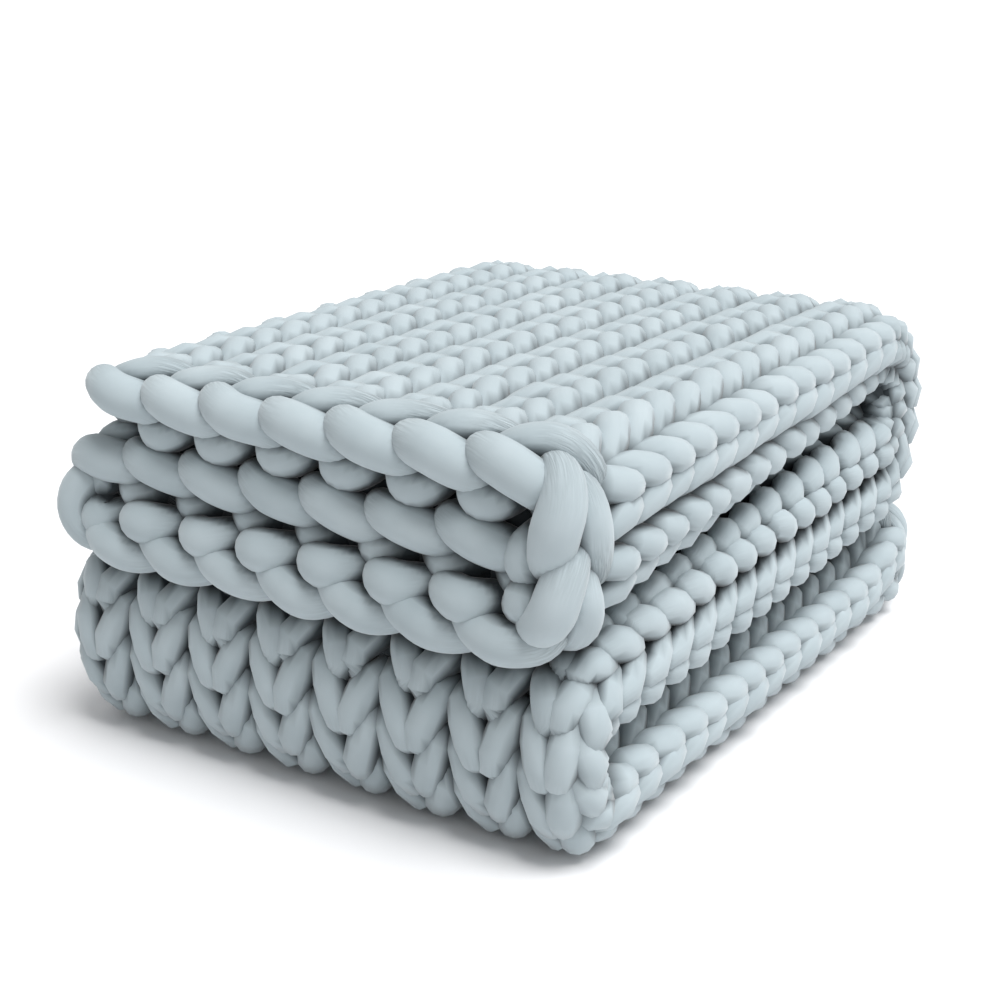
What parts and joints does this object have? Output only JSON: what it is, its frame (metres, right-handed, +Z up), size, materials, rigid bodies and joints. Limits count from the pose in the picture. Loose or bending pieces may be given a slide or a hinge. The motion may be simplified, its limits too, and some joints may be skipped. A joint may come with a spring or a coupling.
{
  "type": "weighted blanket",
  "caption": "Chunky knitted weighted blanket of stuffed jersey yarn, folded lengthwise and then back and forth into a stack.",
  "frame": {"origin": "centre of the folded blanket's footprint, on the surface that it lies on", "axes": "+Z up; +Y from the bound-off end's face towards the back turn; +X towards the main side fold"},
  "size_m": [0.43, 0.545, 0.268],
  "materials": {
    "knitted_jersey": "soft matte blue-grey jersey tube yarn, stuffed and hand knitted in plain stocking stitch"
  },
  "bodies": {
    "root": {"knitted_blanket": "knitted_jersey"}
  },
  "joints": []
}
